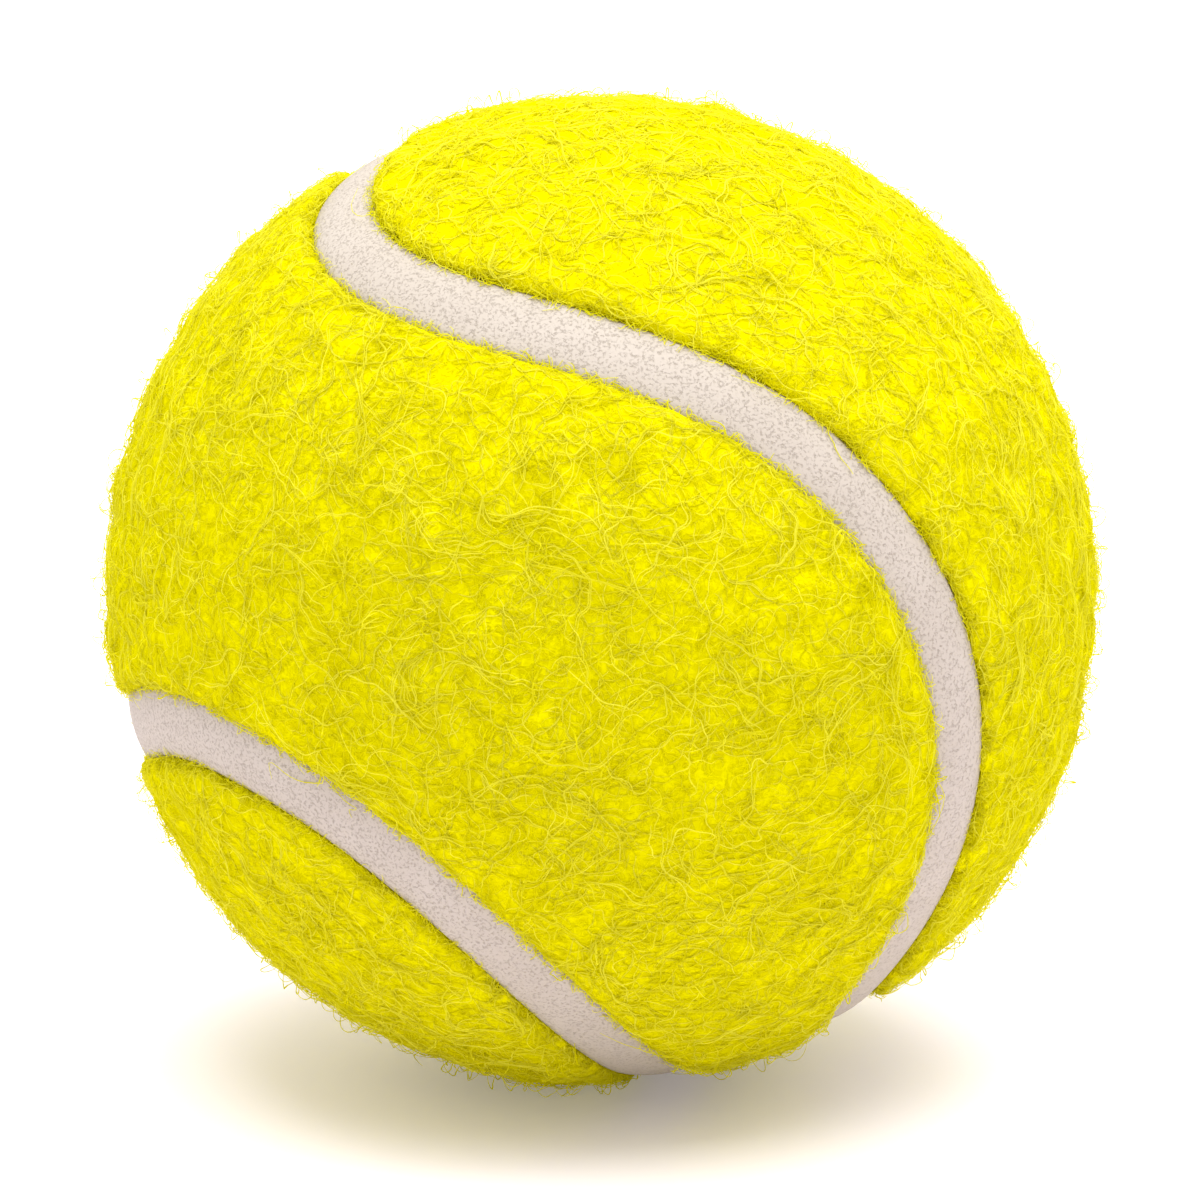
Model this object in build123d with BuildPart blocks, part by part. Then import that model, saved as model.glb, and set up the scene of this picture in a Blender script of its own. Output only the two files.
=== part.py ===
"""A tennis ball: a hollow rubber core in two halves, coated with cement, under two felt panels and one seam."""

import os
from math import cos, radians, sin

from build123d import *

# Hollow core, moulded as two cups and cured together, millimetres
core_diameter = 60.0
core_wall = 3.3
rim_chamfer = 0.7

# Cement between the cups' rims, and the bead of it squeezed out inside
bond_thickness = 0.3
bead_radius = 1.1

# Layers over the core, from the inside out
core_coat_thickness = 0.2
panel_backing_thickness = 0.3
felt_thickness = 3.0

# Seam: the gap between the panels, and the rubber that fills most of its depth
seam_width = 4.5
seam_depth = 1.0
seam_clearance = 0.1
seam_edge_radius = 0.35
felt_edge_radius = 1.0

# Where the middle of the seam passes, as (turn to the right from the front, height), in degrees.
# It runs across the front, down the right cheek, up the back, under the ball and along the left.
seam_stations = (
    (-69, 56),
    (-38, 48.5),
    (20, 32.5),
    (44.5, -3),
    (48.5, -30),
    (56, -52),
    (82, -59),
    (125, -8),
    (135, 23),
    (165, 37),
    (-163, 20),
    (-154, -12),
    (-161, -44),
    (150, -75),
    (40, -77),
    (-12.5, -34.5),
    (-31, -16.5),
    (-59.5, -9.5),
    (-100, -17),
    (-130, 4),
    (-112, 61),
)
edge_samples = 120

# The layers' poles are turned onto the right and left sides, clear of the crown and the front
layer_turn = (0, 90, 0)

# Cuts run this far past what they cut
overrun = 0.5

core_radius = core_diameter / 2
bore_radius = core_radius - core_wall
coat_radius = core_radius + core_coat_thickness
backing_radius = coat_radius + panel_backing_thickness
ball_radius = backing_radius + felt_thickness
seam_radius = ball_radius - seam_depth

os.makedirs("parts", exist_ok=True)


def hand_in(piece, name):
    """Names a finished piece and writes its file."""
    piece.part.label = name
    export_step(piece.part, f"parts/{name}.step")


def on_ball(turn, height):
    """The direction from the ball's middle to a station."""
    level = cos(radians(height))
    return Vector(sin(radians(turn)) * level, -cos(radians(turn)) * level, sin(radians(height)))


# One cup's section: a quarter ring down to its flat rim, with the rim's inner corner bevelled
with BuildSketch(Plane.XZ) as cup_section:
    Circle(core_radius)
    Circle(bore_radius, mode=Mode.SUBTRACT)
    with Locations((0, bond_thickness / 2)):
        Rectangle(core_radius, core_radius, align=(Align.MIN, Align.MIN), mode=Mode.INTERSECT)
    chamfer(cup_section.vertices().group_by(Axis.Z)[0].sort_by(Axis.X)[0], rim_chamfer)

with BuildPart() as upper_core_half:
    add(cup_section.sketch)
    revolve(axis=Axis.Z)
hand_in(upper_core_half, "upper_core_half")

with BuildPart() as lower_core_half:
    add(mirror(cup_section.sketch, about=Plane.XY, mode=Mode.PRIVATE))
    revolve(axis=Axis.Z)
hand_in(lower_core_half, "lower_core_half")

# The cement lies between the two rims, fills both bevels and swells into the hollow as a bead
with BuildPart() as core_bond:
    with BuildSketch(Plane.XZ):
        with Locations((bore_radius, 0)):
            Rectangle(core_wall, bond_thickness, align=(Align.MIN, Align.CENTER))
            Circle(bead_radius)
        Circle(core_radius, mode=Mode.INTERSECT)
    revolve(axis=Axis.Z)
    add(upper_core_half.part, mode=Mode.SUBTRACT)
    add(lower_core_half.part, mode=Mode.SUBTRACT)
hand_in(core_bond, "core_bond")

# Rubber cement brushed over the whole core
with BuildPart() as core_coat:
    Sphere(coat_radius)
    Sphere(core_radius, mode=Mode.SUBTRACT)
hand_in(core_coat, "core_coat")

# The middle of the seam, a smooth closed line through its stations
with BuildLine() as seam_line:
    Spline(*[on_ball(*station) * ball_radius for station in seam_stations], periodic=True)


def seam_edge(offset, radius):
    """The line at a radius that keeps its distance from the seam's middle, towards the crown where positive."""
    turn = offset / ball_radius
    middle = seam_line.edges()[0]
    points = []
    for step in range(edge_samples):
        outward = (middle @ (step / edge_samples)).normalized()
        sideways = outward.cross(middle % (step / edge_samples)).normalized()
        points.append((outward * cos(turn) + sideways * sin(turn)) * radius)
    with BuildLine() as line:
        Spline(*points, periodic=True)
    return line.edges()[0]


def cut_wall(offset):
    """The radial wall along one side of the seam, through every layer that the seam divides."""
    return Face.make_surface_from_curves(
        seam_edge(offset, core_radius - overrun), seam_edge(offset, ball_radius + overrun)
    )


# Walls where the two blanks end, and where the rubber between them does
felt_offset = seam_width / 2
rubber_offset = felt_offset - seam_clearance

# One blank lies over the crown of the ball, the other over its front
crown_spot = (0, 0, ball_radius)
front_spot = (0, -ball_radius, 0)


def layer(inner_radius, outer_radius):
    """A whole layer of the ball between two radii."""
    with BuildPart() as whole:
        Sphere(outer_radius, rotation=layer_turn)
        Sphere(inner_radius, rotation=layer_turn, mode=Mode.SUBTRACT)
    return whole.part


def panel_layer(inner_radius, outer_radius, wall, spot):
    """The share of a layer that lies over a spot, out to one edge of the seam."""
    pieces = split(layer(inner_radius, outer_radius), bisect_by=wall, keep=Keep.ALL, mode=Mode.PRIVATE)
    return pieces.solids().sort_by_distance(spot)[0]


def outer_edges(piece, inner_radius, outer_radius):
    """A piece's edges along the seam, on its outer face."""
    middle_radius = (inner_radius + outer_radius) / 2
    return piece.edges().filter_by(GeomType.BSPLINE).filter_by(lambda edge: (edge @ 0.5).length > middle_radius)


# Dried cement on the back of each felt blank, cut to shape with it
with BuildPart() as crown_backing:
    add(panel_layer(coat_radius, backing_radius, cut_wall(felt_offset), crown_spot))
hand_in(crown_backing, "crown_backing")

with BuildPart() as front_backing:
    add(panel_layer(coat_radius, backing_radius, cut_wall(-felt_offset), front_spot))
hand_in(front_backing, "front_backing")

# The two dog-bone felt blanks, which interlock round the ball and roll over at their edges
with BuildPart() as crown_felt_panel:
    add(panel_layer(backing_radius, ball_radius, cut_wall(felt_offset), crown_spot))
    fillet(outer_edges(crown_felt_panel, backing_radius, ball_radius), felt_edge_radius)
hand_in(crown_felt_panel, "crown_felt_panel")

with BuildPart() as front_felt_panel:
    add(panel_layer(backing_radius, ball_radius, cut_wall(-felt_offset), front_spot))
    fillet(outer_edges(front_felt_panel, backing_radius, ball_radius), felt_edge_radius)
hand_in(front_felt_panel, "front_felt_panel")

# Seam rubber, one closed loop cured between the edges of the two blanks
with BuildPart() as seam_band:
    add(layer(coat_radius, seam_radius))
    split(bisect_by=cut_wall(rubber_offset), keep=Keep.ALL)
    rest = seam_band.solids().sort_by_distance(front_spot)[0]
    pieces = split(rest, bisect_by=cut_wall(-rubber_offset), keep=Keep.ALL, mode=Mode.PRIVATE)
    add(pieces.solids().sort_by_distance(front_spot)[-1], mode=Mode.REPLACE)
    fillet(outer_edges(seam_band, coat_radius, seam_radius), seam_edge_radius)
hand_in(seam_band, "seam_band")
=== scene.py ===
"""A tennis ball lying on a pale floor: its pieces from the core out, then the studio round it."""
from math import cos, pi, radians, sin

import bmesh
import bpy
import numpy as np
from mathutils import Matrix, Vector


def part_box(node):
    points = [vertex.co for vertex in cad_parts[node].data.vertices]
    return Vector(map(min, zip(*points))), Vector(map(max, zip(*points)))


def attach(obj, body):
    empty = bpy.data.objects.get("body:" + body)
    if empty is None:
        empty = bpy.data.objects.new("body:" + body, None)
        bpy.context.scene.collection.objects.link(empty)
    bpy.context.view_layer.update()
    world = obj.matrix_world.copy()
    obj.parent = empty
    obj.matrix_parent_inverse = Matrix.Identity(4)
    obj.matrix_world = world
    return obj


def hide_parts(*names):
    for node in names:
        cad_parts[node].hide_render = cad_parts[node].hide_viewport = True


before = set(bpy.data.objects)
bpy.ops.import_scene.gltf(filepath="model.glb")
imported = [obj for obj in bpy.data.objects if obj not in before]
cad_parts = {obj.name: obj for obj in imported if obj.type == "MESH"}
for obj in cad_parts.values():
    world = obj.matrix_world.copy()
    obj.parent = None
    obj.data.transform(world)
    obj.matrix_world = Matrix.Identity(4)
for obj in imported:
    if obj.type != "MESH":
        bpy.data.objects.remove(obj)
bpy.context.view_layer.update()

# Core halves: two cups of dark natural rubber, moulded, buffed on the outside and cured together
# at their rims. Nothing of them shows on a whole ball.

MM = 0.001
core_dark = (0.012, 0.012, 0.014)
core_light = (0.03, 0.03, 0.033)


def add_node(tree, kind, *links, **values):
    """Adds a shader node. Values set its options or its sockets, and links give (socket, output) pairs."""
    node = tree.nodes.new(kind)
    for name, value in values.items():
        if hasattr(node, name):
            setattr(node, name, value)
    for name, value in values.items():
        if not hasattr(node, name):
            node.inputs[name.replace("_", " ")].default_value = value
    for socket, output in links:
        tree.links.new(output, node.inputs[socket])
    return node


def new_group(name, inputs, outputs):
    """An empty shader node group with number sockets, and its two end nodes."""
    group = bpy.data.node_groups.new(name, "ShaderNodeTree")
    for socket, value in inputs:
        made = group.interface.new_socket(socket, in_out="INPUT", socket_type="NodeSocketFloat")
        made.default_value = value
    for socket in outputs:
        group.interface.new_socket(socket, in_out="OUTPUT", socket_type="NodeSocketFloat")
    return group, group.nodes.new("NodeGroupInput"), group.nodes.new("NodeGroupOutput")


def use_group(tree, group, **values):
    """Places a node group in a material with its own values."""
    node = tree.nodes.new("ShaderNodeGroup")
    node.node_tree = group
    for name, value in values.items():
        node.inputs[name.replace("_", " ")].default_value = value
    return node


def new_material(name):
    """A material with its Principled shader, ready to be linked."""
    material = bpy.data.materials.new(name)
    material.use_nodes = True
    return material, material.node_tree, material.node_tree.nodes["Principled BSDF"]


def blend_colours(tree, share, first, second):
    """Blends two colours, or a node's colour and another, by a share that varies over the surface."""
    mix = tree.nodes.new("ShaderNodeMix")
    mix.data_type = "RGBA"
    tree.links.new(share, mix.inputs[0])
    for socket, colour in ((6, first), (7, second)):
        if isinstance(colour, tuple):
            mix.inputs[socket].default_value = (*colour, 1)
        else:
            tree.links.new(colour, mix.inputs[socket])
    return mix.outputs[2]


def rubber_grain():
    """Fine grain and soft blotches, which every rubber and cement surface here has in its own scale."""
    group, start, end = new_group(
        "Rubber grain", [("Grain per metre", 2500), ("Blotches per metre", 90)], ["Grain", "Blotch"]
    )
    place = group.nodes.new("ShaderNodeTexCoord")
    for rate, result in (("Grain per metre", "Grain"), ("Blotches per metre", "Blotch")):
        noise = add_node(
            group,
            "ShaderNodeTexNoise",
            ("Vector", place.outputs["Object"]),
            ("Scale", start.outputs[rate]),
            Detail=4,
        )
        group.links.new(noise.outputs["Fac"], end.inputs[result])
    return group


grain_group = rubber_grain()


def rubber_material(name, dark, light, grain_per_metre, relief):
    """A matt rubber or dried cement, blotched in two colours and finely grained."""
    material, tree, shader = new_material(name)
    grain = use_group(tree, grain_group, Grain_per_metre=grain_per_metre)
    tree.links.new(blend_colours(tree, grain.outputs["Blotch"], dark, light), shader.inputs["Base Color"])
    bump = add_node(tree, "ShaderNodeBump", ("Height", grain.outputs["Grain"]), Strength=0.6, Distance=relief)
    tree.links.new(bump.outputs["Normal"], shader.inputs["Normal"])
    shader.inputs["Roughness"].default_value = 0.8
    return material


def dress(node, material):
    """Gives a CAD node its finished material."""
    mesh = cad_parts[node].data
    mesh.materials.clear()
    mesh.materials.append(material)


core_rubber = rubber_material("Core rubber", core_dark, core_light, grain_per_metre=1800, relief=0.08 * MM)
for node in ("upper_core_half", "lower_core_half"):
    dress(node, core_rubber)

# Core bond and coat: rubber cement, spread on the rims and brushed over the whole core before the
# felt is laid. It dries to a tacky amber film.

cement_dark = (0.2, 0.13, 0.05)
cement_light = (0.36, 0.26, 0.12)

core_cement = rubber_material("Core cement", cement_dark, cement_light, grain_per_metre=900, relief=0.05 * MM)
for node in ("core_bond", "core_coat"):
    dress(node, core_cement)

# Panel backings: the same cement, rolled on the back of the felt sheet before the blanks are cut,
# so it is paler and carries some of the felt's fibres.

backing_dark = (0.42, 0.36, 0.18)
backing_light = (0.6, 0.54, 0.3)

backing_cement = rubber_material(
    "Backing cement", backing_dark, backing_light, grain_per_metre=1400, relief=0.1 * MM
)
for node in ("crown_backing", "front_backing"):
    dress(node, backing_cement)

# Seam: pale rubber carried on the edges of the blanks, which swells and cures in the mould to one
# closed band. Its skin is finely wrinkled, and it lies lower than the felt on both sides.


def outer_radius(node):
    """A round CAD node's outer radius, from its box, to a hundredth of a millimetre."""
    return round(max(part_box(node)[1]), 5)


ball_radius = outer_radius("crown_felt_panel")
coat_radius = outer_radius("core_coat")
seam_depth = 1.0 * MM
seam_width = 4.5 * MM
seam_spread = 0.35 * MM
seam_half = seam_width / 2 + seam_spread
seam_crown = 0.28 * MM
shoulder_drop = 0.2 * MM
shoulder_share = 0.2
seam_steps = 2400
crown_points = 15
seam_dark = (0.46, 0.4, 0.338)
seam_pale = (0.53, 0.472, 0.41)
# The colour of the painted shade in the wrinkles' pits
seam_pit_shade = (0.37, 0.315, 0.26)

# Where the middle of the seam passes, as (turn to the right from the front, height), in degrees
seam_stations = (
    (-69, 56),
    (-38, 48.5),
    (20, 32.5),
    (44.5, -3),
    (48.5, -30),
    (56, -52),
    (82, -59),
    (125, -8),
    (135, 23),
    (165, 37),
    (-163, 20),
    (-154, -12),
    (-161, -44),
    (150, -75),
    (40, -77),
    (-12.5, -34.5),
    (-31, -16.5),
    (-59.5, -9.5),
    (-100, -17),
    (-130, 4),
    (-112, 61),
)


def unit(vectors):
    """The same vectors at length one."""
    return vectors / np.linalg.norm(vectors, axis=-1, keepdims=True)


def smooth_loop(points, steps):
    """A closed cubic spline through the points, read at even steps of the length of its chords."""
    count = len(points)
    spans = np.linalg.norm(np.roll(points, -1, axis=0) - points, axis=1)
    before = np.roll(spans, 1)
    slopes = (np.roll(points, -1, axis=0) - points) / spans[:, None]
    system = np.zeros((count, count))
    rows = np.arange(count)
    system[rows, rows] = 2 * (spans + before)
    system[rows, (rows - 1) % count] += before
    system[rows, (rows + 1) % count] += spans
    bends = np.linalg.solve(system, 6 * (slopes - np.roll(slopes, 1, axis=0)))
    knots = np.concatenate(([0], np.cumsum(spans)))
    at = np.arange(steps) / steps * knots[-1]
    i = np.clip(np.searchsorted(knots, at, side="right") - 1, 0, count - 1)
    j = (i + 1) % count
    span = spans[i][:, None]
    a = knots[i + 1][:, None] - at[:, None]
    b = at[:, None] - knots[i][:, None]
    curved = (bends[i] * a**3 + bends[j] * b**3) / (6 * span)
    straight = (points[i] / span - bends[i] * span / 6) * a + (points[j] / span - bends[j] * span / 6) * b
    return curved + straight


turns, heights = np.radians(seam_stations).T
stations = np.stack(
    [np.sin(turns) * np.cos(heights), -np.cos(turns) * np.cos(heights), np.sin(heights)], axis=1
)
seam_middle = unit(smooth_loop(stations, seam_steps))
seam_along = unit(np.roll(seam_middle, -1, axis=0) - np.roll(seam_middle, 1, axis=0))
seam_across = unit(np.cross(seam_middle, seam_along))


def new_piece(name, points, faces, material):
    """A smooth mesh piece from numpy points and faces that all have as many corners."""
    mesh = bpy.data.meshes.new(name)
    mesh.vertices.add(len(points))
    mesh.vertices.foreach_set("co", np.ascontiguousarray(points, dtype=np.float32).ravel())
    mesh.loops.add(faces.size)
    mesh.loops.foreach_set("vertex_index", np.ascontiguousarray(faces, dtype=np.int32).ravel())
    mesh.polygons.add(len(faces))
    mesh.polygons.foreach_set("loop_start", np.arange(0, faces.size, faces.shape[1], dtype=np.int32))
    mesh.polygons.foreach_set("use_smooth", np.full(len(faces), True))
    mesh.update(calc_edges=True)
    mesh.materials.append(material)
    piece = bpy.data.objects.new(name, mesh)
    bpy.context.scene.collection.objects.link(piece)
    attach(piece, "root")
    return piece


def crossing_lines():
    """Fine curly lines in three layers, where soft noises cross their middle value, and a patchy share."""
    group, start, end = new_group(
        "Crossing lines",
        [("Lines per metre", 420), ("Line width", 0.035), ("Patches per metre", 260)],
        ["Lines", "Patches"],
    )
    place = group.nodes.new("ShaderNodeTexCoord")
    layer_shift = (0.37, 0.61, 0.23)
    result = None
    for layer in range(3):
        moved = add_node(group, "ShaderNodeVectorMath", (0, place.outputs["Object"]), operation="ADD")
        moved.inputs[1].default_value = [shift * layer for shift in layer_shift]
        noise = add_node(
            group,
            "ShaderNodeTexNoise",
            ("Vector", moved.outputs[0]),
            ("Scale", start.outputs["Lines per metre"]),
            Detail=1.2,
            Roughness=0.45,
            Distortion=0.3,
        )
        away = add_node(group, "ShaderNodeMath", (0, noise.outputs["Fac"]), operation="SUBTRACT")
        away.inputs[1].default_value = 0.5
        apart = add_node(group, "ShaderNodeMath", (0, away.outputs[0]), operation="ABSOLUTE")
        line = add_node(
            group,
            "ShaderNodeMapRange",
            ("Value", apart.outputs[0]),
            ("From Max", start.outputs["Line width"]),
            interpolation_type="SMOOTHSTEP",
            From_Min=0,
            To_Min=1,
            To_Max=0,
        )
        if result is None:
            result = line.outputs[0]
        else:
            top = add_node(group, "ShaderNodeMath", (0, result), (1, line.outputs[0]), operation="MAXIMUM")
            result = top.outputs[0]
    group.links.new(result, end.inputs["Lines"])
    patches = add_node(
        group,
        "ShaderNodeTexNoise",
        ("Vector", place.outputs["Object"]),
        ("Scale", start.outputs["Patches per metre"]),
        Detail=3,
    )
    group.links.new(patches.outputs["Fac"], end.inputs["Patches"])
    return group


lines_group = crossing_lines()


def seam_rubber():
    """Pale warm rubber whose skin is finely wrinkled, with painted shade darkening the pits."""
    material, tree, shader = new_material("Seam rubber")
    grain = use_group(tree, grain_group, Grain_per_metre=5200, Blotches_per_metre=160)
    wrinkles = use_group(tree, lines_group, Lines_per_metre=6500, Line_width=0.08, Patches_per_metre=5000)
    broken = add_node(
        tree,
        "ShaderNodeMapRange",
        ("Value", wrinkles.outputs["Patches"]),
        interpolation_type="SMOOTHSTEP",
        From_Min=0.47,
        From_Max=0.66,
    )
    pit = add_node(
        tree, "ShaderNodeMath", (0, wrinkles.outputs["Lines"]), (1, broken.outputs[0]), operation="MULTIPLY"
    )
    skin_tone = blend_colours(tree, grain.outputs["Blotch"], seam_dark, seam_pale)
    # Painted shade: the pits of the wrinkles are darkened to a deep warm grey.
    colour = blend_colours(tree, pit.outputs[0], skin_tone, seam_pit_shade)
    tree.links.new(colour, shader.inputs["Base Color"])
    bump = add_node(
        tree, "ShaderNodeBump", ("Height", pit.outputs[0]), Strength=0.5, Distance=0.1 * MM, invert=True
    )
    tree.links.new(bump.outputs["Normal"], shader.inputs["Normal"])
    shader.inputs["Roughness"].default_value = 0.75
    shader.inputs["Specular IOR Level"].default_value = 0.25
    return material


def seam_band():
    """The band as a closed ring: a crowned top, rounded shoulders, straight sides and a seat on the coat."""
    top = ball_radius - seam_depth
    middle = (top + coat_radius) / 2
    section = []
    for across in np.linspace(-1, 1, crown_points):
        shoulder = max(0, abs(across) - 1 + shoulder_share) / shoulder_share
        height = top + seam_crown * (1 - across**2) - shoulder_drop * shoulder**2
        section.append((seam_half * across, height))
    section += [(seam_half, middle), (seam_half, coat_radius), (0, coat_radius)]
    section += [(-seam_half, coat_radius), (-seam_half, middle)]
    lines = []
    for offset, radius in section:
        angle = offset / ball_radius
        lines.append((seam_middle * cos(angle) + seam_across * sin(angle)) * radius)
    points = np.stack(lines, axis=1).reshape(-1, 3)
    corner = np.arange(len(points)).reshape(seam_steps, len(section))
    beside = np.roll(corner, -1, axis=1)
    faces = np.stack([corner, beside, np.roll(beside, -1, axis=0), np.roll(corner, -1, axis=0)], axis=-1)
    return points, faces.reshape(-1, 4)


seam_piece = new_piece("seam_rubber_band", *seam_band(), seam_rubber())
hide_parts("seam_band")

# Felt panels: two interlocking dog-bone blanks of needled wool and nylon felt, dyed optic yellow
# and cemented on. Each blank's edge rolls down into the seam.

backing_radius = outer_radius("crown_backing")
nap_depth = 0.35 * MM
felt_radius = ball_radius - nap_depth
felt_roll = 1.4 * MM
felt_drop = 0.65 * MM
felt_setback = 0.32 * MM
felt_edge = seam_width / 2 + felt_setback
roll_rows = 9
wall_rows = 3
felt_yellow = (0.745, 0.7, 0.0)
# The felt's hollows between its threads: painted shade, a deeper yellow
felt_hollow_shade = (0.575, 0.52, 0.0)
lump_size = (2.4 * MM, 8 * MM)
lump_height = 0.14 * MM
waver_size = (1.5 * MM, 5 * MM)
waver_height = 0.07 * MM

# Each blank's side of the seam, and its cut size laid flat, in metres: its width and length over
# the lobes, and the area that is left once the waist is cut in
blanks = {
    "crown": dict(sign=1, flat=(0.068, 0.118), area=0.0060),
    "front": dict(sign=-1, flat=(0.062, 0.112), area=0.0052),
}


def wave_field(rng, shortest, longest, count):
    """Directions and phases of plane waves whose sum is a soft random relief."""
    heading = unit(rng.normal(size=(count, 3)))
    length = np.exp(rng.uniform(np.log(shortest), np.log(longest), count))
    return heading * (2 * pi / length)[:, None], rng.uniform(0, 2 * pi, count)


def relief_at(points, field):
    """The relief's height at points, about one in spread."""
    waves, phases = field
    return np.sin(points @ waves.T + phases).sum(axis=1) * (2 / len(phases)) ** 0.5


felt_rng = np.random.default_rng(7)
lump_field = wave_field(felt_rng, *lump_size, count=40)
waver_field = wave_field(felt_rng, *waver_size, count=16)


def seam_side(directions):
    """How far points lie from the seam's middle, positive over the crown, and the way across it there."""
    nearest = np.empty(len(directions), dtype=int)
    middle = seam_middle.T.astype(np.float32)
    batch = 20000
    for first in range(0, len(directions), batch):
        chunk = directions[first:first + batch].astype(np.float32)
        nearest[first:first + batch] = np.argmax(chunk @ middle, axis=1)
    across = seam_across[nearest]
    return np.arcsin(np.clip((directions * across).sum(axis=1), -1, 1)) * ball_radius, across


def felt_inset(directions, sign):
    """How far points lie inside a blank's wavering edge, and the direction that leads inwards."""
    offset, across = seam_side(directions)
    waver = relief_at(directions * ball_radius, waver_field) * waver_height
    return offset * sign - felt_edge + waver, across * sign


def felt_surface(directions, inset):
    """The felt's radius: lumpy, but less so towards its edge, where it is rolled down."""
    evenness = np.clip(inset / lump_size[0], 0.3, 1)
    lumps = relief_at(directions * ball_radius, lump_field) * lump_height * evenness
    near = np.clip(1 - inset / felt_roll, 0, 1)
    return felt_radius + lumps - felt_drop * (1 - np.sqrt(1 - near**2))


def felt_material():
    """Matted felt under the nap: yellow darkened by painted shade in its hollows, with brighter threads
    across.
    """
    material, tree, shader = new_material("Felt")
    tangle = use_group(tree, lines_group, Lines_per_metre=1100, Line_width=0.07)
    share = add_node(
        tree,
        "ShaderNodeMath",
        (0, tangle.outputs["Lines"]),
        (1, tangle.outputs["Patches"]),
        operation="MULTIPLY_ADD",
    )
    share.inputs[2].default_value = 0.1
    # Painted shade: away from the raised threads the felt takes the deeper yellow.
    colour = blend_colours(tree, share.outputs[0], felt_hollow_shade, felt_yellow)
    tree.links.new(colour, shader.inputs["Base Color"])
    bump = add_node(tree, "ShaderNodeBump", ("Height", share.outputs[0]), Strength=0.6, Distance=0.15 * MM)
    tree.links.new(bump.outputs["Normal"], shader.inputs["Normal"])
    shader.inputs["Roughness"].default_value = 0.95
    shader.inputs["Specular IOR Level"].default_value = 0
    return material


def round_mesh():
    """Even triangles all over a ball, as directions and their faces."""
    ball = bmesh.new()
    bmesh.ops.create_icosphere(ball, subdivisions=7, radius=1)
    ball.verts.ensure_lookup_table()
    directions = unit(np.array([vertex.co for vertex in ball.verts]))
    triangles = np.array([[vertex.index for vertex in face.verts] for face in ball.faces])
    ball.free()
    return directions, triangles


def open_sides(triangles):
    """The triangles' sides that no other triangle shares."""
    sides = np.concatenate([triangles[:, [0, 1]], triangles[:, [1, 2]], triangles[:, [2, 0]]])
    keys = sides.min(axis=1) * (triangles.max() + 1) + sides.max(axis=1)
    _, place, uses = np.unique(keys, return_inverse=True, return_counts=True)
    return sides[uses[place.ravel()] == 1]


def felt_panel(sign):
    """A closed blank: the lumpy outside, the rolled edge, the wall beside the seam and the cemented back."""
    directions, triangles = round_mesh()
    inset, inward = felt_inset(directions, sign)
    triangles = triangles[(inset[triangles] > felt_roll).all(axis=1)]
    kept, triangles = np.unique(triangles, return_inverse=True)
    triangles = triangles.reshape(-1, 3)
    directions, inset, inward = directions[kept], inset[kept], inward[kept]
    rim_sides = open_sides(triangles)
    rim = np.unique(rim_sides)

    def rim_at(depth):
        """The rim's directions, moved out to a depth inside the blank's edge."""
        slide = (inset[rim] - depth) / ball_radius
        return unit(directions[rim] * np.cos(slide)[:, None] - inward[rim] * np.sin(slide)[:, None])

    edge = []
    for depth in felt_roll * (1 - np.sin(np.linspace(0, pi / 2, roll_rows))):
        moved = rim_at(depth)
        edge.append(moved * felt_surface(moved, np.full(len(rim), depth))[:, None])
    walls = np.linspace(felt_radius - felt_drop, backing_radius, wall_rows + 1)[1:]
    edge += [rim_at(0) * radius for radius in walls]
    face = directions * felt_surface(directions, inset)[:, None]
    points = np.concatenate([face, *edge, directions * backing_radius])

    back = len(points) - len(face)
    rows = [rim_sides]
    rows += [len(face) + row * len(rim) + np.searchsorted(rim, rim_sides) for row in range(len(edge))]
    rows += [rim_sides + back]
    strips = [
        np.stack([upper[:, 1], upper[:, 0], lower[:, 0], lower[:, 1]], axis=1)
        for upper, lower in zip(rows, rows[1:])
    ]
    quads = np.concatenate(strips)
    faces = [triangles, triangles[:, ::-1] + back, quads[:, [0, 1, 2]], quads[:, [0, 2, 3]]]
    return points, np.concatenate(faces)


felt = felt_material()
for name, blank in blanks.items():
    new_piece(f"{name}_felt", *felt_panel(blank["sign"]), felt)
    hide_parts(f"{name}_felt_panel")

# Nap: wool and nylon fibres teased out of the felt's face, curling over each other, some of them
# standing clear as loops and loose ends, and short ones leaning out over the seam.

fibre_pale = (0.92, 0.895, 0.09)
fibre_bright = (0.755, 0.715, 0.0)
fibre_glow = 0.52
tint_contrast = 2.2
piece_triangles = 180000

# How single fibres differ from their kind, as shares of its values
step_spread = (0.6, 1.2)
crimp_spread = (0.7, 1.5)
sway_spread = (0.2, 1)
thickness_spread = (0.75, 1.25)
lift_shape = 1.6
lift_limit = 2.5

# How fibres bend: the wander kept and added at each joint, and how hard the blank's edge turns them
wander_kept = 0.8
wander_added = 0.6
edge_turn = 1.3
edge_reach = 0.15 * MM
fringe_slant = 0.7

# How far a lock's strands part at its ends and lie apart, and where along it they meet
lock_spread = 0.9 * MM
lock_gap = 0.08 * MM
lock_meeting = (0.25, 0.75)
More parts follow.
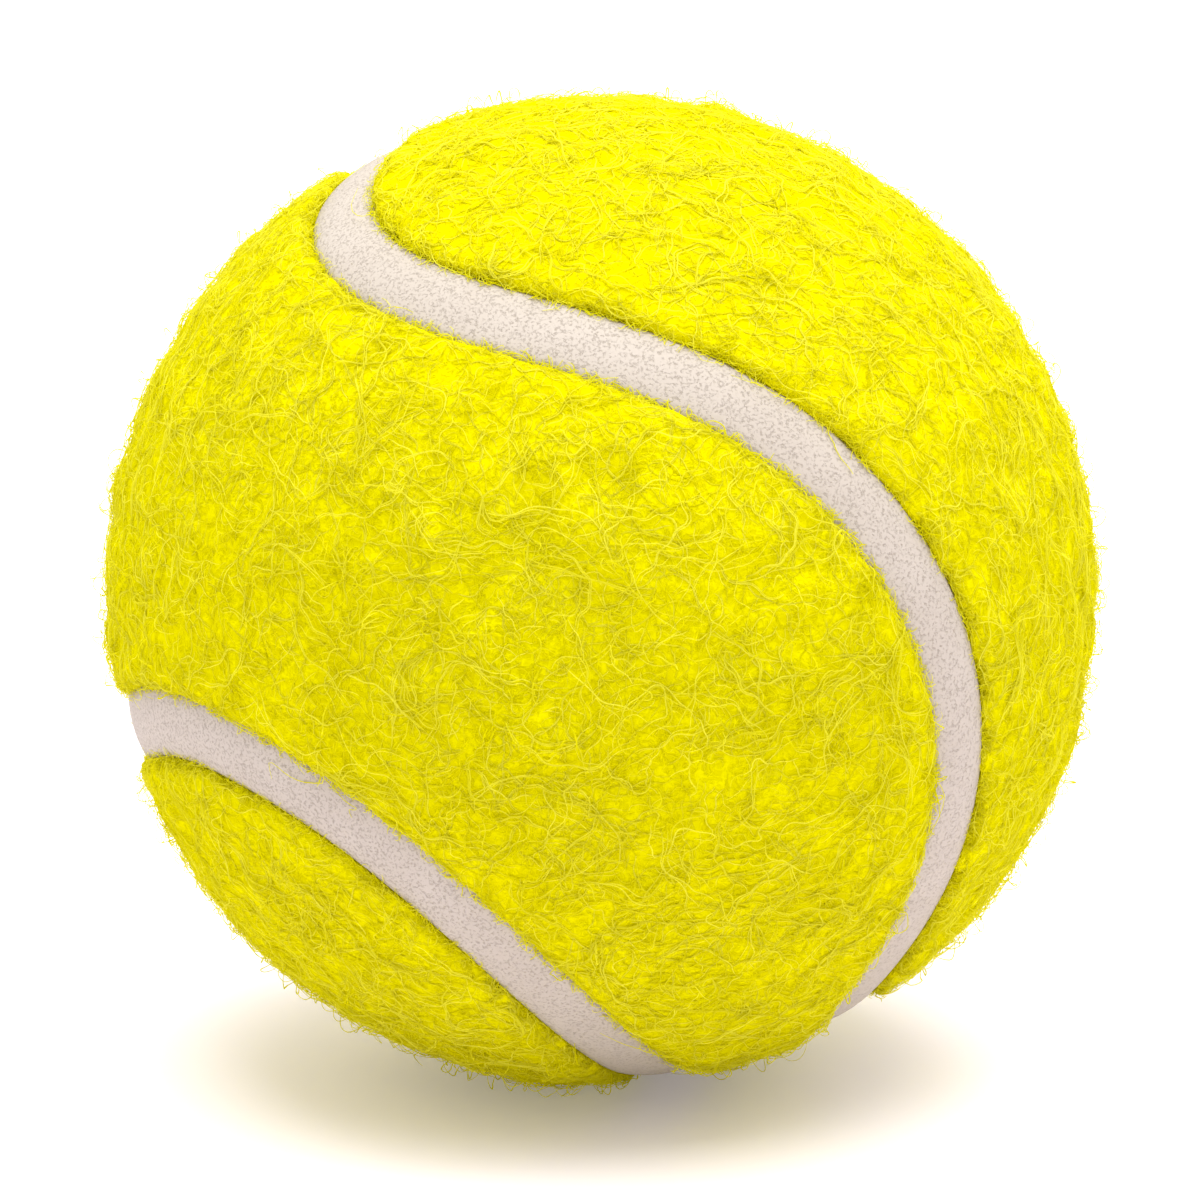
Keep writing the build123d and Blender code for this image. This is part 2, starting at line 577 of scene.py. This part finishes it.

# Each kind of fibre: how many would cover a whole ball, its joints, the step between them, its
# thickness, the faces across it and its tints; its lift, the share with a loose end, its wander, and
# the length and swing of its crimp; how far it hangs past the blank's edge and how deep it is rooted.
# The tints vary at random from fibre to fibre, and partly paint light by layer: the fuzz low on the
# felt is kept deeper as painted shade, the locks lying on top paler as painted highlight.
# A kind with a margin grows only along each blank's edge, that many to a blank and that far inside.
nap_kinds = {
    # Fuzz: painted shade, its tints kept to the deeper end
    "fuzz": dict(
        count=138000, joints=6, step=0.24 * MM, thickness=0.05 * MM, sides=1, tint=(0.05, 0.35),
        lift=0.09 * MM, loose=0.3, wander=0.18, crimp=1.2 * MM, sway=0.9,
        overhang=0.05 * MM, root=0.1 * MM,
    ),
    "fibre": dict(
        count=33000, joints=14, step=0.28 * MM, thickness=0.07 * MM, sides=2, tint=(0, 1),
        lift=0.18 * MM, loose=0.12, wander=0.14, crimp=1.7 * MM, sway=0.65,
        overhang=0.1 * MM, root=0.1 * MM,
    ),
    # Locks: partly painted highlight, their tints kept to the paler end
    "lock": dict(
        count=3800, joints=28, step=0.3 * MM, thickness=0.075 * MM, sides=2, tint=(0.5, 1), strands=2,
        lift=0.24 * MM, loose=0.12, wander=0.1, crimp=2.2 * MM, sway=0.5,
        overhang=0.1 * MM, root=0.1 * MM,
    ),
    "stray": dict(
        count=7500, joints=10, step=0.25 * MM, thickness=0.088 * MM, sides=2, tint=(0, 0.8),
        lift=0.5 * MM, loose=0.06, wander=0.25, crimp=1.7 * MM, sway=0.8,
        overhang=0.4 * MM, root=0.1 * MM,
    ),
    "fringe": dict(
        count=5600, joints=7, step=0.2 * MM, thickness=0.06 * MM, sides=1, tint=(0, 0.8),
        lift=0.15 * MM, loose=0.4, wander=0.25, crimp=1.3 * MM, sway=0.7,
        overhang=1.2 * MM, root=-0.04 * MM, margin=0.6 * MM,
    ),
}


def nap_material():
    """Dyed fibre, each one a little paler or deeper at random, with painted shade deepening every fibre
    towards the end it grows from.
    """
    material, tree, shader = new_material("Felt nap")
    place = tree.nodes.new("ShaderNodeUVMap")
    place.uv_map = "OFBake"
    parts = add_node(tree, "ShaderNodeSeparateXYZ", ("Vector", place.outputs["UV"]))
    curve = add_node(tree, "ShaderNodeMath", (0, parts.outputs["X"]), operation="POWER")
    curve.inputs[1].default_value = tint_contrast
    # Painted shade: the quarter of each fibre next to its root is pulled towards the deeper colour.
    root_shade = add_node(
        tree,
        "ShaderNodeMapRange",
        ("Value", parts.outputs["Y"]),
        From_Min=0,
        From_Max=0.25,
        To_Min=0.4,
        To_Max=1,
    )
    share = add_node(
        tree, "ShaderNodeMath", (0, curve.outputs[0]), (1, root_shade.outputs[0]), operation="MULTIPLY"
    )
    colour = blend_colours(tree, share.outputs[0], fibre_bright, fibre_pale)
    tree.links.new(colour, shader.inputs["Base Color"])
    shader.inputs["Roughness"].default_value = 0.8
    shader.inputs["Specular IOR Level"].default_value = 0.02
    through = add_node(tree, "ShaderNodeBsdfTranslucent", ("Color", colour))
    both = add_node(
        tree, "ShaderNodeMixShader", (1, shader.outputs["BSDF"]), (2, through.outputs["BSDF"]), Fac=fibre_glow
    )
    tree.links.new(both.outputs["Shader"], tree.nodes["Material Output"].inputs["Surface"])
    return material


def random_directions(rng, count):
    """Directions spread evenly over the ball."""
    return unit(rng.normal(size=(count, 3)))


def edge_spots(rng, sign, kind):
    """Places spread along a blank's edge, up to a depth inside it."""
    spot = rng.integers(seam_steps, size=kind["count"])
    offset = sign * (felt_edge + kind["margin"] * rng.random(kind["count"])) / ball_radius
    return unit(seam_middle[spot] * np.cos(offset)[:, None] + seam_across[spot] * np.sin(offset)[:, None])


def nap_ground(directions, inset):
    """What fibres lie on: the felt out to its edge, then the seam's crowned band."""
    across = (felt_edge + inset) / seam_half
    band = ball_radius - seam_depth + seam_crown * (1 - across**2)
    return np.maximum(felt_surface(directions, np.maximum(inset, 0)), band)


def grow_fibres(rng, sign, kind):
    """The crimped paths of one kind of fibre over a blank, and each fibre's own tint."""
    if "margin" in kind:
        place = edge_spots(rng, sign, kind)
        _, inward = felt_inset(place, sign)
        sideways = unit(np.cross(place, random_directions(rng, len(place))))
        heading = unit(sideways * fringe_slant - inward)
    else:
        place = random_directions(rng, kind["count"])
        inset, _ = felt_inset(place, sign)
        place = place[inset > -edge_reach]
        heading = unit(np.cross(place, random_directions(rng, len(place))))
    count, joints = len(place), kind["joints"]
    step = kind["step"] * rng.uniform(*step_spread, count)
    drift = rng.normal(0, kind["wander"], count)
    phase = rng.uniform(0, 2 * pi, count)
    quicken = 2 * pi * step / (kind["crimp"] * rng.uniform(*crimp_spread, count))
    sway = kind["sway"] * rng.uniform(*sway_spread, count)
    rise = np.minimum(rng.gamma(lift_shape, kind["lift"] / lift_shape, count), lift_limit * kind["lift"])
    loose = rng.random(count) < kind["loose"]
    overhang = kind["overhang"] * rng.random(count)
    path = np.empty((count, joints, 3))
    for joint in range(joints):
        inset, inward = felt_inset(place, sign)
        outwards = np.minimum(0, (heading * inward).sum(axis=1))
        turning = np.clip(edge_turn - (inset + overhang) / (2 * step), 0, edge_turn)
        heading = unit(heading - inward * (outwards * turning)[:, None])
        along = joint / (joints - 1)
        arch = np.where(loose, along**0.8, sin(pi * along) ** 0.7)
        path[:, joint] = place * (nap_ground(place, inset) - kind["root"] + rise * arch)[:, None]
        drift = wander_kept * drift + rng.normal(0, wander_added * kind["wander"], count)
        bend = drift + sway * (np.sin(phase + quicken) - np.sin(phase))
        phase = phase + quicken
        heading = heading * np.cos(bend)[:, None] + np.cross(place, heading) * np.sin(bend)[:, None]
        place = unit(place + heading * (step / ball_radius)[:, None])
        heading = unit(heading - place * (heading * place).sum(axis=1, keepdims=True))
    return path, rng.uniform(*kind["tint"], count)


def lock_strands(rng, path, tint, strands):
    """Fibres that run together in a lock and part towards its ends. One strand is a lone fibre."""
    count, joints, _ = path.shape
    side = unit(np.cross(np.gradient(path, axis=1), path))
    share = np.linspace(0, 1, joints)
    members, tints = [path], [tint]
    for _ in range(strands - 1):
        away = share - rng.uniform(*lock_meeting, (count, 1))
        spread = rng.normal(0, lock_spread, (count, 1)) * away * (1 + 2 * abs(away))
        shift = (spread + rng.normal(0, lock_gap, (count, 1)))[..., None]
        members.append(path + side * shift)
        tints.append(rng.permutation(tint))
    return np.concatenate(members), np.concatenate(tints)


def fibre_strips(rng, path, tint, thickness, sides):
    """Tapering fibres along paths, flat with one side or ridged with two, and where the tint map has them."""
    count, joints, _ = path.shape
    along = unit(np.gradient(path, axis=1))
    side = unit(np.cross(along, unit(path)))
    over = np.cross(side, along)
    share = np.linspace(0, 1, joints)
    taper = np.sqrt(np.clip(np.sin(pi * (0.06 + 0.88 * share)), 0, 1))
    width = (thickness / 2 * rng.uniform(*thickness_spread, (count, 1)) * taper)[..., None]
    angles = np.linspace(0, pi, sides + 1)
    points = np.stack([path + width * (side * cos(a) + over * sin(a)) for a in angles], axis=2)
    grid = points.shape[:3]
    corner = np.arange(count * joints * len(angles)).reshape(grid)
    first, second = corner[:, :, :-1], corner[:, :, 1:]
    faces = np.stack([second[:, :-1], first[:, :-1], first[:, 1:], second[:, 1:]], axis=-1)
    across = (0.02 + 0.94 * tint)[:, None, None] + np.linspace(-0.015, 0.015, len(angles))
    length = (0.02 + 0.96 * share)[None, :, None]
    uv = np.stack([np.broadcast_to(across, grid), np.broadcast_to(length, grid)], axis=-1)
    return points.reshape(-1, 3), faces.reshape(-1, 4), uv.reshape(-1, 2)


nap = nap_material()
nap_rng = np.random.default_rng(21)
for name, blank in blanks.items():
    for kind_name, kind in nap_kinds.items():
        path, tint = grow_fibres(nap_rng, blank["sign"], kind)
        path, tint = lock_strands(nap_rng, path, tint, kind.get("strands", 1))
        batch = piece_triangles // (2 * kind["sides"] * (kind["joints"] - 1))
        for number, first in enumerate(range(0, len(path), batch), start=1):
            part = slice(first, first + batch)
            points, faces, uv = fibre_strips(
                nap_rng, path[part], tint[part], kind["thickness"], kind["sides"]
            )
            piece = new_piece(f"{name}_{kind_name}_{number}", points, faces, nap)
            tint_map = piece.data.uv_layers.new(name="OFBake")
            tint_map.data.foreach_set("uv", uv[faces.ravel()].astype(np.float32).ravel())

# Studio: a white floor, a bright surround that is dimmer on the viewer's side, and one large soft
# light overhead, a little to the front and right. A long lens sees the ball from slightly above.

floor_size = 6.0
floor_dark = (0.865, 0.815, 0.89)
floor_light = (0.875, 0.825, 0.9)


def floor_material():
    """Matt white board with the faintest unevenness, lit a little from within as a light table is."""
    material, tree, shader = new_material("Floor")
    place = tree.nodes.new("ShaderNodeTexCoord")
    noise = add_node(tree, "ShaderNodeTexNoise", ("Vector", place.outputs["Object"]), Scale=30, Detail=2)
    colour = blend_colours(tree, noise.outputs["Fac"], floor_dark, floor_light)
    tree.links.new(colour, shader.inputs["Base Color"])
    shader.inputs["Roughness"].default_value = 1
    shader.inputs["Specular IOR Level"].default_value = 0
    shader.inputs["Emission Color"].default_value = (1, 0.97, 0.95, 1)
    shader.inputs["Emission Strength"].default_value = 0.17
    return material


floor_corners = [
    (x * floor_size / 2, y * floor_size / 2, -ball_radius) for x, y in ((-1, -1), (1, -1), (1, 1), (-1, 1))
]
floor_mesh = bpy.data.meshes.new("floor")
floor_mesh.from_pydata(floor_corners, [], [(0, 1, 2, 3)])
floor_mesh.materials.append(floor_material())
floor = bpy.data.objects.new("floor", floor_mesh)
bpy.context.scene.collection.objects.link(floor)

world = bpy.data.worlds.new("Studio surround")
world.use_nodes = True
surround = world.node_tree
around = surround.nodes.new("ShaderNodeTexCoord")
way = add_node(surround, "ShaderNodeSeparateXYZ", ("Vector", around.outputs["Generated"]))
glow = add_node(
    surround,
    "ShaderNodeMapRange",
    ("Value", way.outputs["Y"]),
    From_Min=-0.9,
    From_Max=-0.1,
    To_Min=0.43,
    To_Max=1.15,
)
surround.nodes["Background"].inputs["Color"].default_value = (1, 1, 1, 1)
surround.links.new(glow.outputs[0], surround.nodes["Background"].inputs["Strength"])
bpy.context.scene.world = world

softbox_place = Vector((0.08, -0.16, 1.0))
softbox_size = 1.0
softbox_power = 16

softbox_light = bpy.data.lights.new("Key softbox", "AREA")
softbox_light.size = softbox_size
softbox_light.energy = softbox_power
softbox = bpy.data.objects.new("Key softbox", softbox_light)
softbox.location = softbox_place
softbox.rotation_euler = (-softbox_place).to_track_quat("-Z", "Y").to_euler()
bpy.context.scene.collection.objects.link(softbox)

# The picture's side, and the ball's outline radius and middle in it, in pixels
picture_side = 1200
outline_radius = 498
ball_place = (601, 590.5)
camera_height = radians(13)
camera_distance = 0.449
sensor_width = 36

# The lens fits the outline, and the camera aims as far beside the ball's middle as in the photograph
focal_pixels = outline_radius * (camera_distance**2 - ball_radius**2) ** 0.5 / ball_radius
pixel = camera_distance / focal_pixels
aim_right, aim_down = [(picture_side / 2 - middle) * pixel for middle in ball_place]
aim = Vector((aim_right, -aim_down * sin(camera_height), -aim_down * cos(camera_height)))

lens = bpy.data.cameras.new("Photograph camera")
lens.sensor_width = sensor_width
lens.lens = sensor_width * focal_pixels / picture_side
lens.clip_start = 0.01
camera = bpy.data.objects.new("Photograph camera", lens)
camera.location = (0, -camera_distance * cos(camera_height), camera_distance * sin(camera_height))
camera.rotation_euler = (aim - camera.location).to_track_quat("-Z", "Y").to_euler()
bpy.context.scene.collection.objects.link(camera)
bpy.context.scene.camera = camera
bpy.context.scene.view_settings.view_transform = "Standard"
